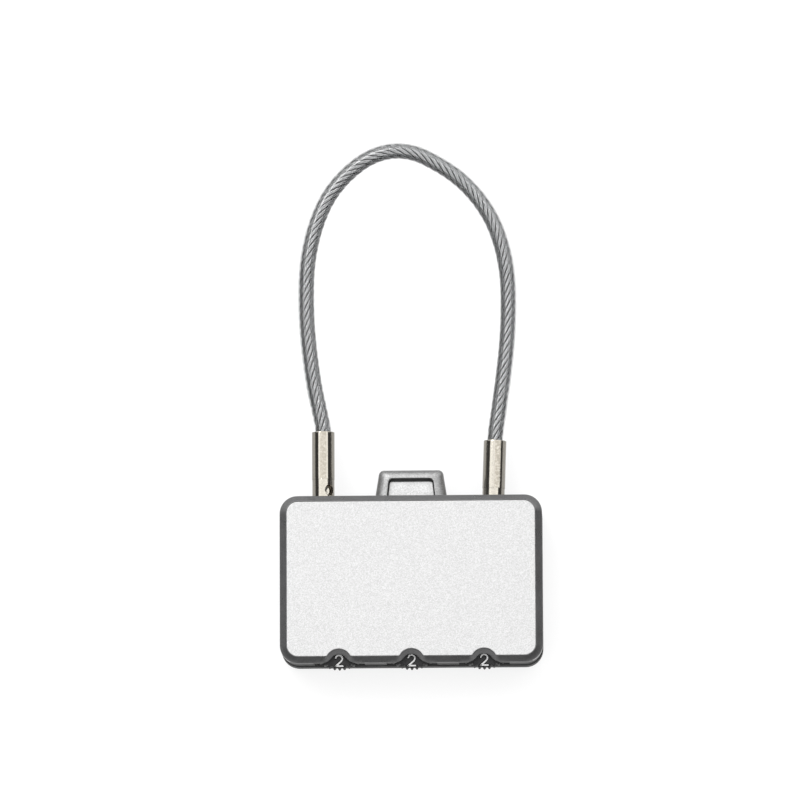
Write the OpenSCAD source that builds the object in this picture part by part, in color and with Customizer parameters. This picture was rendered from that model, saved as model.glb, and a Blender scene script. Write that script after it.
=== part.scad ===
// Cable luggage lock shaped like a small suitcase, lying on its back.
// +Z points out of the front face, +Y towards the cable loop, +X to the right.
// The origin is the middle of the case and handle, on the surface under the back.

/* [Case] */
// Width of the case
case_w = 50; // [49:0.5:54]
// Height of the case, without handle and dials
case_h = 32; // [31.5:0.5:36]
// Thickness of the case
case_t = 12.4; // [12.2:0.1:13]
// Height of the rear shell
back_h = 4.0; // [3.9:0.1:4.1]
// Height of the middle frame
frame_h = 5.2; // [5.1:0.1:5.4]
// Wall thickness of both shells
wall = 1.4; // [1.2:0.1:1.5]
// Outer corner radius
corner_r = 3.4; // [3:0.1:4]
// Width of the dark border around the front panel
bezel_w = 1.3; // [1.2:0.1:1.5]
// Thickness of the front and back panels
panel_t = 0.6; // [0.5:0.05:0.7]

/* [Handle] */
// Width of the handle where it meets the case
handle_base_w = 13.8; // [12:0.2:16]
// Width of the handle at its top
handle_top_w = 12.4; // [11:0.2:15]
// Height of the handle above the case
handle_h = 5.3; // [4.5:0.1:6]
// Thickness of the handle
handle_t = 4.4; // [4:0.1:4.8]
// Depth of the recess in each face of the handle
recess_d = 1.5; // [1:0.1:1.8]

/* [Dials] */
// Distance between neighbouring dials
dial_pitch = 13.8; // [13.4:0.1:14.2]
// Radius over the dial's teeth
dial_r = 6.3; // [6:0.05:6.4]
// Thickness of a dial
dial_t = 4; // [3.8:0.1:4]
// Teeth around a dial, four for each of the ten numbers
dial_teeth = 40; // [40:10:50]
// How far a dial stands out of the bottom of the case
dial_out = 1.0; // [0.8:0.1:1.2]
// Radius of the cam under a dial
cam_r = 4.4; // [4.2:0.1:4.5]
// Radius of the post that a dial turns on
post_r = 1.2; // [1:0.1:1.4]

/* [Cable and ferrules] */
// Outer diameter of the coated cable
cable_d = 3.2; // [3:0.1:3.4]
// Radius of a ferrule's round shank
ferrule_r = 2.175; // [2.1:0.025:2.2]
// Length of the crimped, eight-sided part of a ferrule
crimp_len = 9.2; // [8.8:0.1:9.4]
// Length of the free ferrule's round shank
free_shank = 5.3; // [5.2:0.1:5.5]
// Length of the fixed ferrule's round shank
fixed_shank = 8.0; // [7.8:0.1:8.4]
// Height of the free ferrule's top above the case
free_top = 12.8; // [12.7:0.05:12.9]
// Height of the fixed ferrule's top above the case
fixed_top = 10.9; // [10.8:0.1:11.1]
// How far the fixed ferrule leans to the right
fixed_lean = 2; // [0:0.25:2.5]

/* [Latch] */
// Radius of the latch bolt's nose
nose_r = 0.8; // [0.7:0.05:0.85]
// Travel of the latch bolt
latch_travel = 1.2; // [1:0.1:1.3]

/* [Hidden] */
$fn = 64;

// Places along Y and Z
y_bottom = -(case_h + handle_h - dial_out) / 2;
y_top = y_bottom + case_h;
front_z = back_h + frame_h;
mid_z = back_h + frame_h / 2;
dial_y = y_bottom + dial_r - dial_out;
dial_z = 6.0;
dial_room = 0.2;
cam_z = 3.3;
cam_t = dial_z - 0.2 - cam_z;
cam_neck_r = 2.3;
bore_r = post_r + 0.05;
tooth_h = 0.45;
fit = 0.05;

// Places of the two sockets and of the cable's ends
free_x = -16.8;
fixed_x = 15.7;
free_bore_r = ferrule_r + 0.08;
fixed_bore_r = ferrule_r + 0.3;
nose_y = y_top + free_top - crimp_len - free_shank - fit - nose_r;
clip_groove_r = 1.6;
clip_t = 0.8;
clip_drop = 4.3;
latch_hole_drop = 11.3;
latch_hole_turn = 37;
latch_hole_r = 1.0;

// Shells
front_wall = 1.1;
frame_inset = 0.2;
frame_wall = 1.4;
bezel_slope = 1.0;
bezel_drop = 1.1;
back_bevel = 0.8;
panel_inset_y = 1.15;
panel_r = 2.2;
notch_r = 1.68;
notch_fillet = 2.5;
panel_notch_r = 2.46;
slot_w = 9.6;
screw_x = case_w / 2 - 3.1;
screw_y = [y_bottom + 3.3, y_top - 3.3];
screw_r = 0.8;
boss_r = 1.6;

// Locking slide
slide_z = 3.4;
slide_t = 2.0;
bar_y = dial_y + cam_r + 2.3;
bar_w = 2.2;
gate_w = 2.0;
gate_d = 1.5;
leg_back = 6.8;
leg_w = 1.2;
carriage_x = [-13.4, -4.7];
bolt_x = [-13.0, -9.0];
bolt_z = [5.7, 7.5];
bolt_y = [nose_y - 3.0, nose_y + 0.5];
spring_y = nose_y - 1.2;

// Centre line of the cable, from the fixed ferrule round to the free one
fixed_end = [
    fixed_x + fixed_top * sin(fixed_lean), y_top + fixed_top * cos(fixed_lean)
];
free_end = [free_x, y_top + free_top];
CABLE_ROUTE = concat(
    [fixed_end],
    [
        [16.9, 31.0], [17.8, 37.5], [18.5, 44.0], [18.8, 50.5], [18.6, 57.0],
        [17.6, 62.5], [15.8, 67.5], [13.0, 72.0], [9.4, 75.8], [5.2, 78.7],
        [0.8, 80.8], [-3.6, 81.2], [-8.0, 79.8], [-12.0, 76.8], [-15.1, 73.2],
        [-17.3, 69.0], [-18.9, 64.0], [-19.8, 58.5], [-20.0, 52.5], [-19.8, 46.5],
        [-19.2, 40.5], [-18.4, 35.0], [-17.5, 30.7]
    ],
    [free_end]
);
CABLE_SIDES = 8;

function dial_x(i) = (i - 2) * dial_pitch;

// ---- outlines ----

// Rectangle with round corners around [0, y]
module rounded(w, h, r, y) {
    translate([0, y]) {
        square([w - 2 * r, h], center = true);
        square([w, h - 2 * r], center = true);
        for (sx = [-1, 1], sy = [-1, 1])
            translate([sx * (w / 2 - r), sy * (h / 2 - r)]) circle(r);
    }
}

// Outline of the case, inset all round
module case_outline(inset) {
    rounded(case_w - 2 * inset, case_h - 2 * inset, max(corner_r - inset, 0.8), y_bottom + case_h / 2);
}

// The case's outline from z0 to z1, with its inset going from inset0 to inset1
module sloped(inset0, inset1, z0, z1) {
    cx = case_w / 2 - corner_r;
    cy = case_h / 2 - corner_r;
    h = z1 - z0;
    translate([0, y_bottom + case_h / 2, z0]) {
        for (sx = [-1, 1], sy = [-1, 1])
            translate([sx * cx, sy * cy, 0]) cylinder(h = h, r1 = corner_r - inset0, r2 = corner_r - inset1);
        translate([-cx, 0, 0]) rotate([90, 0, 90]) linear_extrude(2 * cx)
            bevel_profile(case_h / 2 - inset0, case_h / 2 - inset1, h);
        translate([0, cy, 0]) rotate([90, 0, 0]) linear_extrude(2 * cy)
            bevel_profile(case_w / 2 - inset0, case_w / 2 - inset1, h);
    }
}

module bevel_profile(half0, half1, h) {
    polygon([[-half0, 0], [half0, 0], [half1, h], [-half1, h]]);
}

// Points round an arc, without its last one
function arc(c, r, a0, a1, n) = [
    for (k = [0:n - 1]) let (a = a0 + (a1 - a0) * k / n) c + r * [cos(a), sin(a)]
];

// Bell-shaped opening over a dial: a round top with a fillet at each foot
module bell(i) {
    f = notch_fillet;
    foot = sqrt(pow(notch_r + f, 2) - pow(f, 2));
    rise = asin(f / (notch_r + f));
    translate([dial_x(i), y_bottom]) polygon(concat(
        [[foot, -2]],
        arc([foot, f], f, -90, rise - 180, 6),
        arc([0, 0], notch_r, rise, 180 - rise, 12),
        arc([-foot, f], f, -rise, -90, 6),
        [[-foot, 0], [-foot, -2]]
    ));
}

module at_screws() {
    for (x = [-screw_x, screw_x], y = screw_y) translate([x, y, 0]) children();
}

// Round bar along X from x0 to x1
module bar_x(x0, x1, y, z, r) {
    translate([x0, y, z]) rotate([0, 90, 0]) cylinder(h = x1 - x0, r = r);
}

// Round bar along Y from y0 to y1, at the middle of the frame
module bar_y(x, y0, y1, r) {
    translate([x, y0, mid_z]) rotate([-90, 0, 0]) cylinder(h = y1 - y0, r = r);
}

module block(x, y, z) {
    translate([x[0], y[0], z[0]]) cube([x[1] - x[0], y[1] - y[0], z[1] - z[0]]);
}

// ---- case ----

module front_shell() {
    color([0.30, 0.30, 0.31]) difference() {
        union() {
            translate([0, 0, front_z]) linear_extrude(case_t - bezel_drop - front_z) case_outline(0);
            sloped(0, bezel_slope, case_t - bezel_drop, case_t);
        }
        difference() {
            translate([0, 0, front_z - 1])
                linear_extrude(case_t - panel_t - front_wall - front_z + 1) case_outline(wall);
            at_screws() translate([0, 0, front_z - 1]) cylinder(h = 3, r = boss_r);
        }
        translate([0, 0, case_t - panel_t]) linear_extrude(2) front_panel_outline();
        for (i = [1:3]) translate([0, 0, front_z - 1]) linear_extrude(case_t) bell(i);
        for (i = [1:3]) translate([dial_x(i), dial_y, front_z - 1])
            cylinder(h = dial_z + dial_t + dial_room - front_z + 1, r = dial_r + dial_room);
        at_screws() translate([0, 0, front_z - 1]) cylinder(h = 2.2, r = screw_r);
    }
}

module front_panel_outline() {
    difference() {
        rounded(case_w - 2 * bezel_w, case_h - 2 * panel_inset_y, panel_r, y_bottom + case_h / 2);
        for (i = [1:3]) translate([dial_x(i), y_bottom + 0.1]) circle(panel_notch_r);
    }
}

module front_panel() {
    color([0.88, 0.88, 0.87]) translate([0, 0, case_t - panel_t])
        linear_extrude(panel_t - 0.1) front_panel_outline();
}

module mid_frame() {
    color([0.58, 0.58, 0.58]) difference() {
        union() {
            translate([0, 0, back_h]) linear_extrude(frame_h) difference() {
                case_outline(frame_inset);
                case_outline(frame_inset + frame_wall);
            }
            block([free_x - 3, free_x + 3.1], [nose_y - 2.2, y_top - 1], [back_h, front_z]);
            block([fixed_x - 3.4, fixed_x + 3.4], [y_top - 3.8, y_top - 1], [back_h, front_z]);
            at_screws() translate([0, 0, back_h]) cylinder(h = frame_h, r = boss_r);
        }
        bar_y(free_x, nose_y - 3, y_top + 1, free_bore_r);
        bar_y(fixed_x, y_top - 5, y_top + 1, fixed_bore_r);
        bar_x(free_x, free_x + 5, nose_y, mid_z, nose_r + 0.1);
        for (i = [1:3])
            block(
                [dial_x(i) - slot_w / 2, dial_x(i) + slot_w / 2],
                [y_bottom - 1, y_bottom + 3], [back_h + 0.8, front_z + 1]
            );
        for (i = [1:3]) translate([dial_x(i), dial_y, back_h - 1]) {
            cylinder(h = frame_h, r = cam_r + 0.3);
            translate([0, 0, dial_z - dial_room - back_h + 1]) cylinder(h = frame_h, r = dial_r + dial_room);
        }
        at_screws() translate([0, 0, back_h - 1]) cylinder(h = frame_h + 2, r = screw_r);
    }
}

// Trapezoid with rounded top corners
module handle_outline(base_w, top_w, h, r) {
    hull() {
        translate([-base_w / 2, 0]) square([base_w, 0.01]);
        for (s = [-1, 1]) translate([s * (top_w / 2 - r), h - r]) circle(r, $fn = 32);
    }
}

module handle() {
    seat = frame_inset;
    color([0.66, 0.66, 0.66]) translate([0, y_top - seat, mid_z]) difference() {
        translate([0, 0, -handle_t / 2]) linear_extrude(handle_t)
            handle_outline(handle_base_w, handle_top_w, handle_h + seat, 0.9);
        for (side = [0, 1]) mirror([0, 0, side])
            translate([0, 0, handle_t / 2 - recess_d]) linear_extrude(recess_d + 1)
                handle_outline(9.2, 8.6, 3.6 + seat, 0.8);
    }
}

module back_shell() {
    floor_z = panel_t + 1.1;
    color([0.26, 0.26, 0.27]) difference() {
        union() {
            translate([0, 0, back_bevel]) linear_extrude(back_h - back_bevel) case_outline(0);
            sloped(back_bevel, 0, 0, back_bevel);
        }
        difference() {
            translate([0, 0, floor_z]) linear_extrude(back_h) case_outline(wall);
            at_screws() cylinder(h = back_h, r = boss_r);
        }
        translate([0, 0, -1]) linear_extrude(1 + panel_t) back_panel_outline();
        at_screws() cylinder(h = back_h + 1, r = screw_r);
        at_screws() translate([0, 0, panel_t]) cylinder(h = 0.8, r = 1.45);
        for (i = [1:3]) translate([dial_x(i), dial_y, 0.9]) cylinder(h = back_h, r = post_r);
        for (i = [1:3]) translate([dial_x(i), dial_y, back_h - 0.9]) cylinder(h = 3, r = cam_r + 0.4);
    }
}

module back_panel_outline() {
    rounded(case_w - 2 * bezel_w - 1, case_h - 2 * bezel_w - 1, panel_r, y_bottom + case_h / 2);
}

module back_panel() {
    color([0.80, 0.80, 0.79]) linear_extrude(panel_t) back_panel_outline();
}

module case_screws() {
    color([0.7, 0.7, 0.7]) at_screws() {
        translate([0, 0, panel_t]) cylinder(h = 0.8, r = 1.4);
        translate([0, 0, panel_t + 0.8]) cylinder(h = front_z - panel_t - 0.8 + 1.1, r = screw_r - 0.02);
    }
}

// ---- dials ----

module dial_post(i) {
    color([0.8, 0.7, 0.45]) translate([dial_x(i), dial_y, 0.9]) cylinder(h = dial_z + dial_t - 0.5, r = post_r);
}

// Toothed ring that carries the ten numbers; a tooth points straight down
module dial(i) {
    turn = 360 / dial_teeth;
    pitch = dial_r * turn * PI / 180;
    color([0.36, 0.36, 0.37]) translate([dial_x(i), dial_y, dial_z]) difference() {
        cylinder(h = dial_t, r = dial_r);
        translate([0, 0, -1]) cylinder(h = dial_t, r = cam_neck_r);
        translate([0, 0, -1]) cylinder(h = dial_t + 2, r = bore_r);
        translate([0, 0, -1]) linear_extrude(dial_t + 2)
            for (k = [0:dial_teeth - 1]) rotate(-90 + (k + 0.5) * turn)
                polygon([
                    [dial_r - tooth_h, -0.14 * pitch], [dial_r + 0.2, -0.38 * pitch],
                    [dial_r + 0.2, 0.38 * pitch], [dial_r - tooth_h, 0.14 * pitch]
                ]);
    }
}

// Cam with one gate, facing the locking slide's leg when its number is set
module cam(i) {
    color([0.75, 0.66, 0.40]) translate([dial_x(i), dial_y, cam_z]) difference() {
        union() {
            cylinder(h = cam_t, r = cam_r);
            cylinder(h = dial_z + dial_t - 1 - cam_z, r = cam_neck_r);
        }
        translate([0, 0, -1]) cylinder(h = 12, r = bore_r);
        translate([-cam_r - 1, -gate_w / 2, -1]) cube([gate_d + 1, gate_w, cam_t + 2]);
    }
}

// Helical spring along +Z from the origin, as one swept wire
module coil(turns, length, r, wire) {
    steps = 14;
    n = floor(turns * steps);
    sides = 6;
    rings = [
        for (k = [0:n]) let (a = k * 360 / steps, z = wire / 2 + (length - wire) * k / n)
            [for (s = [0:sides - 1]) let (b = s * 360 / sides, q = r + wire / 2 * cos(b))
                [q * cos(a), q * sin(a), z + wire / 2 * sin(b)]]
    ];
    tube(rings, sides);
}

// Closed solid through rings of the same number of points
module tube(rings, sides) {
    last = len(rings) - 1;
    polyhedron(
        points = [for (ring = rings) for (p = ring) p],
        faces = concat(
            [[for (s = [0:sides - 1]) s]],
            [[for (s = [sides - 1:-1:0]) last * sides + s]],
            [for (k = [0:last - 1]) for (s = [0:sides - 1]) let (t = (s + 1) % sides)
                [k * sides + s, (k + 1) * sides + s, (k + 1) * sides + t, k * sides + t]]
        ),
        convexity = 6
    );
}

module dial_spring(i) {
    color("silver") translate([dial_x(i), dial_y, panel_t + 1.15]) coil(2, cam_z - panel_t - 1.25, 2.0, 0.4);
}

// Leaf with three fingers that rest just clear of the dials' teeth
module detent_spring() {
    leaf_y = dial_y + dial_r + 0.9;
    color([0.72, 0.72, 0.70]) difference() {
        union() {
            block([-20, 20], [leaf_y, leaf_y + 0.3], [dial_z + 0.5, dial_z + dial_t]);
            for (i = [1:3]) translate([dial_x(i), dial_y + dial_r + 0.65, dial_z + 1])
                cylinder(h = dial_t - 2, r = 0.55);
        }
        for (i = [0:3]) block(
            [(i - 1.5) * dial_pitch - 1.2, (i - 1.5) * dial_pitch + 1.2],
            [leaf_y - 1, leaf_y + 1], [dial_z + 2.2, dial_z + dial_t + 1]
        );
    }
}

// ---- latch ----

// Bar with a leg beside each cam, and the carriage that holds the latch bolt
module lock_slide() {
    color([0.62, 0.62, 0.63]) difference() {
        union() {
            block([-leg_back - dial_pitch, 19], [bar_y, bar_y + bar_w], [slide_z, slide_z + slide_t]);
            for (i = [1:3]) {
                block(
                    [dial_x(i) - leg_back, dial_x(i) - leg_back + leg_w],
                    [dial_y - 0.9, bar_y + 0.1], [slide_z, slide_z + slide_t]
                );
                block(
                    [dial_x(i) - leg_back, dial_x(i) - cam_r - 0.2],
                    [dial_y - 0.9, dial_y + 0.9], [slide_z, slide_z + slide_t]
                );
            }
            block([-10, -5.5], [bar_y + 0.1, bolt_y[0]], [slide_z, slide_z + slide_t]);
            block(carriage_x, [bolt_y[0] - 0.9, bolt_y[1] + 0.1], [slide_z + 1.2, bolt_z[1] + 0.1]);
        }
        block([-14, carriage_x[1] - 0.9], [bolt_y[0] - 0.1, bolt_y[1] + 1], [bolt_z[0] - 0.1, bolt_z[1] + 1]);
    }
}

module slide_spring() {
    color("silver") translate([19.1, bar_y + bar_w / 2, slide_z + slide_t / 2]) rotate([0, 90, 0])
        coil(5, case_w / 2 - wall - 19.4, 0.7, 0.3);
}

module latch_bolt() {
    color([0.78, 0.78, 0.78]) {
        bar_x(free_x + free_bore_r - latch_travel, bolt_x[0] + 0.1, nose_y, mid_z, nose_r);
        block(bolt_x, bolt_y, bolt_z);
        bar_x(bolt_x[1] - 0.1, bolt_x[1] + 1.6, spring_y, mid_z, 0.5);
    }
}

module latch_spring() {
    color("silver") translate([bolt_x[1] + 0.05, spring_y, mid_z]) rotate([0, 90, 0])
        coil(4, carriage_x[1] - 0.9 - bolt_x[1] - 0.1, 0.72, 0.26);
}

// ---- cable and ferrules ----

// Ferrule hanging down -Y from y = 0: the crimp with a flat to the front, then the shank
module ferrule(shank) {
    rotate([90, 0, 0]) {
        rotate(22.5) cylinder(h = crimp_len + 0.05, r = ferrule_r / cos(22.5) * 0.985, $fn = 8);
        translate([0, 0, crimp_len]) cylinder(h = shank, r = ferrule_r);
    }
}

// The latch hole faces half way between front and right
module free_ferrule() {
    color([0.74, 0.71, 0.64]) translate([free_x, free_end[1], mid_z]) difference() {
        ferrule(free_shank);
        rotate([0, latch_hole_turn, 0]) translate([0, -latch_hole_drop, 0.6]) cylinder(h = 3, r = latch_hole_r);
        translate([0, -crimp_len - free_shank + 0.5, 0]) rotate([90, 0, 0]) difference() {
            cylinder(h = 1, r = ferrule_r + 1);
            cylinder(h = 0.5, r1 = ferrule_r, r2 = ferrule_r - 0.4);
        }
    }
}

module fixed_ferrule() {
    groove_y = -fixed_top - clip_drop + clip_t / 2;
    color([0.74, 0.71, 0.64]) translate([fixed_x, y_top, mid_z]) rotate(-fixed_lean)
        translate([0, fixed_top, 0]) difference() {
            ferrule(fixed_shank);
            translate([0, groove_y, 0]) rotate([90, 0, 0]) difference() {
                cylinder(h = clip_t, r = ferrule_r + 1);
                translate([0, 0, -1]) cylinder(h = clip_t + 2, r = clip_groove_r);
            }
        }
}

// Open ring in the fixed ferrule's groove
module retaining_clip() {
    color([0.5, 0.5, 0.5]) translate([fixed_x, y_top, mid_z]) rotate(-fixed_lean)
        translate([0, -clip_drop + clip_t / 2 - 0.1, 0]) rotate([90, 0, 0]) difference() {
            cylinder(h = clip_t - 0.2, r = ferrule_r + 0.8);
            translate([0, 0, -1]) cylinder(h = clip_t + 2, r = clip_groove_r + 0.03);
            translate([-1.1, -5, -1]) cube([2.2, 5, 4]);
        }
}

module cable() {
    last = len(CABLE_ROUTE) - 1;
    rings = [
        for (k = [0:last]) let (
            p = CABLE_ROUTE[k],
            a = k == 0 ? [sin(fixed_lean), cos(fixed_lean)]
                : k == last ? [0, -1]
                : CABLE_ROUTE[k + 1] - CABLE_ROUTE[k - 1],
            side = [a[1], -a[0]] / norm(a)
        )
            [for (s = [0:CABLE_SIDES - 1]) let (b = s * 360 / CABLE_SIDES, r = cable_d / 2)
                [p[0] + side[0] * r * cos(b), p[1] + side[1] * r * cos(b), mid_z + r * sin(b)]]
    ];
    color([0.72, 0.73, 0.74]) tube(rings, CABLE_SIDES);
}

front_shell();
front_panel();
mid_frame();
handle();
back_shell();
back_panel();
case_screws();
for (i = [1:3]) {
    dial_post(i);
    dial(i);
    cam(i);
    dial_spring(i);
}
detent_spring();
lock_slide();
slide_spring();
latch_bolt();
latch_spring();
free_ferrule();
fixed_ferrule();
retaining_clip();
cable();
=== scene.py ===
"""Looks of the cable luggage lock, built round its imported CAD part.

Shapes are written in millimetres and turned into metres as each mesh is made.
The frame is the CAD's: +Z out of the front face, +Y towards the cable loop, +X to the right.
"""

import math

import bmesh
import bpy
import numpy as np
from mathutils import Matrix, Vector


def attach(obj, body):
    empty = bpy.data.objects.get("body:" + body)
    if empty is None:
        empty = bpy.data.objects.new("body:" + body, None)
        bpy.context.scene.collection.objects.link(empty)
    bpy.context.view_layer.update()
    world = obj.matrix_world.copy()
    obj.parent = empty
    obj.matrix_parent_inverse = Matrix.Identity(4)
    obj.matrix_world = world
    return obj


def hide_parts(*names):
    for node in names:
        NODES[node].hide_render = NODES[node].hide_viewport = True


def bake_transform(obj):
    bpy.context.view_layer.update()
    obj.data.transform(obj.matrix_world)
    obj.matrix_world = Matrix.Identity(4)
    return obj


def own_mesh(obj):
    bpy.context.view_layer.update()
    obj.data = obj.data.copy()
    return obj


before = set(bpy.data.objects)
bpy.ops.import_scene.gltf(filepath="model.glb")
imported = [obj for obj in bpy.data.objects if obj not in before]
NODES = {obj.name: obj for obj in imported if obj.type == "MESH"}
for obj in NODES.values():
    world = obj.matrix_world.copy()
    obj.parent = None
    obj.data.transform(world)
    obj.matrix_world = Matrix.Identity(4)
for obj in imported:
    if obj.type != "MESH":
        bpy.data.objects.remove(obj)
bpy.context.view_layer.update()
MM = 0.001
MERGE, TINY = 2e-7, 1e-8  # metres: points this close are one, edges this short are none

# ---- sizes in millimetres, which are the CAD's ----
CASE_W, CASE_H, CASE_T = 50.0, 32.0, 12.4
Y_BOTTOM, Y_TOP = -18.15, 13.85
FRONT_Z, MID_Z = 9.2, 6.6
CORNER_R = 3.4
BEZEL_DROP = 1.1
BEZEL_W, PANEL_INSET_Y, PANEL_R, PANEL_T = 1.3, 1.15, 2.2, 0.6
NOTCH_R, NOTCH_FILLET, PANEL_NOTCH_R, PANEL_NOTCH_UP = 1.68, 2.5, 2.46, 0.1
DIAL_XS, DIAL_Y, DIAL_R, DIAL_Z, DIAL_T = (-13.8, 0.0, 13.8), -12.85, 6.3, 6.0, 4.0
DIAL_ROOM = 0.2
TEETH, TOOTH_H = 40, 0.45
HANDLE_BASE, HANDLE_TOP, HANDLE_H, HANDLE_T, RECESS_D = 13.8, 12.4, 5.3, 4.4, 1.5
FERRULE_R, CRIMP_LEN, FREE_SHANK, FIXED_SHANK = 2.175, 9.2, 5.3, 8.0
FREE_X, FREE_TOP, FIXED_X, FIXED_TOP, FIXED_LEAN = -16.8, 12.8, 15.7, 10.9, 2.0
CLIP_DROP, CLIP_T, GROOVE_R = 4.3, 0.8, 1.6
HOLE_DROP, HOLE_TURN, HOLE_R = 11.3, 37.0, 1.0
CABLE_D = 3.2

# ---- where the colour on the case's edge changes: darker below LIP_Z, and painted shade round the dials' slots ----
LIP_Z, SLOT_HALF, SLOT_TOP_Y = 8.3, 4.85, -15

# ---- helpers ----


def link(name, data):
    """New object of the scene that shows this mesh, light or camera."""
    obj = bpy.data.objects.new(name, data)
    bpy.context.scene.collection.objects.link(obj)
    return obj


def shade_smooth(mesh):
    for polygon in mesh.polygons:
        polygon.use_smooth = True


def make_object(name, verts, faces):
    """Mesh object from points in millimetres, with outward normals."""
    mesh = bpy.data.meshes.new(name)
    mesh.from_pydata([tuple(float(c) * MM for c in v) for v in verts], [], faces)
    obj = link(name, mesh)
    bm = bmesh.new()
    bm.from_mesh(mesh)
    bmesh.ops.remove_doubles(bm, verts=bm.verts, dist=MERGE)
    bmesh.ops.dissolve_degenerate(bm, dist=TINY, edges=bm.edges)
    bmesh.ops.recalc_face_normals(bm, faces=bm.faces)
    bm.to_mesh(mesh)
    bm.free()
    shade_smooth(mesh)
    return obj


def loft(rings, ring_closed=False):
    """Points and faces of a surface through rings of the same number of points.

    The last ring joins the first if ring_closed, or else both ends are capped.
    """
    n, count = len(rings[0]), len(rings)
    verts = [p for ring in rings for p in ring]
    faces = []
    for k in range(count if ring_closed else count - 1):
        a, b = k * n, ((k + 1) % count) * n
        faces += [(a + s, a + (s + 1) % n, b + (s + 1) % n, b + s) for s in range(n)]
    if not ring_closed:
        faces += [tuple(reversed(range(n))), tuple(range((count - 1) * n, count * n))]
    return verts, faces


def join(parts):
    """One list of points and one of faces from several."""
    verts, faces = [], []
    for v, f in parts:
        base = len(verts)
        verts += list(v)
        faces += [tuple(base + i for i in face) for face in f]
    return verts, faces


def weighted(obj):
    """Keeps the shading of large faces flat beside rounded edges."""
    modifier = obj.modifiers.new("normals", "WEIGHTED_NORMAL")
    modifier.keep_sharp = True
    return obj


def sharpen(obj, angle):
    """Marks the edges that turn by more than so many degrees as sharp."""
    obj.data.set_sharp_from_angle(angle=math.radians(angle))
    return obj


def place(obj, body, material, replaces=()):
    """Puts a finished piece on its body, with its material, and hides the CAD parts it replaces."""
    obj.data.materials.clear()
    for m in material if isinstance(material, (list, tuple)) else [material]:
        obj.data.materials.append(m)
    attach(obj, body)
    if replaces:
        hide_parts(*replaces)
    return obj


def split_at(obj, point, normal):
    """Cuts the faces along this plane, so that the two sides can have their own paint."""
    bm = bmesh.new()
    bm.from_mesh(obj.data)
    everything = bm.verts[:] + bm.edges[:] + bm.faces[:]
    bmesh.ops.bisect_plane(
        bm, geom=everything, plane_co=Vector(point) * MM, plane_no=normal, dist=TINY
    )
    bm.to_mesh(obj.data)
    bm.free()


def split_beside_dials(obj):
    for x in DIAL_XS:
        for edge in (x - SLOT_HALF, x + SLOT_HALF):
            split_at(obj, (edge, 0, 0), (1, 0, 0))


def by_dial(x):
    """Whether x lies within the slot of a dial."""
    return min(abs(x - dial_x) for dial_x in DIAL_XS) < SLOT_HALF


def arc(cx, cy, r, a0, a1, n):
    """n + 1 points round an arc, angles in degrees."""
    return [
        (cx + r * math.cos(math.radians(a)), cy + r * math.sin(math.radians(a)))
        for a in np.linspace(a0, a1, n + 1)
    ]


def inset(loop, d):
    """A closed counter-clockwise outline moved inwards by d."""
    p = np.array(loop, float)
    before, after = np.roll(p, 1, 0), np.roll(p, -1, 0)
    e0, e1 = p - before, after - p
    e0 /= np.linalg.norm(e0, axis=1)[:, None] + 1e-12
    e1 /= np.linalg.norm(e1, axis=1)[:, None] + 1e-12
    n0, n1 = np.stack([-e0[:, 1], e0[:, 0]], 1), np.stack([-e1[:, 1], e1[:, 0]], 1)
    m = n0 + n1
    m /= np.maximum((m * n0).sum(1), 0.4)[:, None]
    return [tuple(q) for q in p + m * d]


def mix(a, b, t):
    """The outline a share t of the way from a to b, which have the same number of points."""
    return [(p[0] + (q[0] - p[0]) * t, p[1] + (q[1] - p[1]) * t) for p, q in zip(a, b)]


def at(loop, z):
    """The outline as a ring of points at height z."""
    return [(x, y, z) for x, y in loop]


# ---- materials ----


def new_material(name):
    material = bpy.data.materials.new(name)
    material.use_nodes = True
    tree = material.node_tree
    return material, tree, tree.nodes["Principled BSDF"]


def noise(tree, size, detail, roughness=0.5):
    """Noise with features of about this size in millimetres, fixed to the object."""
    coordinates = tree.nodes.new("ShaderNodeTexCoord")
    texture = tree.nodes.new("ShaderNodeTexNoise")
    texture.inputs["Scale"].default_value = 1 / (size * MM)
    texture.inputs["Detail"].default_value = detail
    texture.inputs["Roughness"].default_value = roughness
    tree.links.new(coordinates.outputs["Object"], texture.inputs["Vector"])
    return texture.outputs["Fac"]


def flakes(tree, size):
    """A random value for each small cell, like the flakes in metallic paint."""
    coordinates = tree.nodes.new("ShaderNodeTexCoord")
    texture = tree.nodes.new("ShaderNodeTexVoronoi")
    texture.inputs["Scale"].default_value = 1 / (size * MM)
    tree.links.new(coordinates.outputs["Object"], texture.inputs["Vector"])
    split = tree.nodes.new("ShaderNodeSeparateColor")
    tree.links.new(texture.outputs["Color"], split.inputs["Color"])
    return split.outputs["Red"]


def spread(tree, value, low, high, from_low=0.3, from_high=0.7):
    """The value moved from its own range to low..high."""
    node = tree.nodes.new("ShaderNodeMapRange")
    node.inputs["From Min"].default_value = from_low
    node.inputs["From Max"].default_value = from_high
    node.inputs["To Min"].default_value = low
    node.inputs["To Max"].default_value = high
    tree.links.new(value, node.inputs["Value"])
    return node.outputs["Result"]


def tint(tree, value, dark, light, low=0.3, high=0.7):
    """A colour between dark and light, as the value goes from low to high."""
    ramp = tree.nodes.new("ShaderNodeValToRGB")
    ramp.color_ramp.elements[0].position = low
    ramp.color_ramp.elements[1].position = high
    ramp.color_ramp.elements[0].color = (*dark, 1)
    ramp.color_ramp.elements[1].color = (*light, 1)
    tree.links.new(value, ramp.inputs["Fac"])
    return ramp.outputs["Color"]


def bump(tree, shader, value, height, strength, after=None):
    """Relief of so many millimetres, on top of the relief called after."""
    node = tree.nodes.new("ShaderNodeBump")
    node.inputs["Distance"].default_value = height * MM
    node.inputs["Strength"].default_value = strength
    tree.links.new(value, node.inputs["Height"])
    if after:
        tree.links.new(after, node.inputs["Normal"])
    tree.links.new(node.outputs["Normal"], shader.inputs["Normal"])
    return node.outputs["Normal"]


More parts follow.
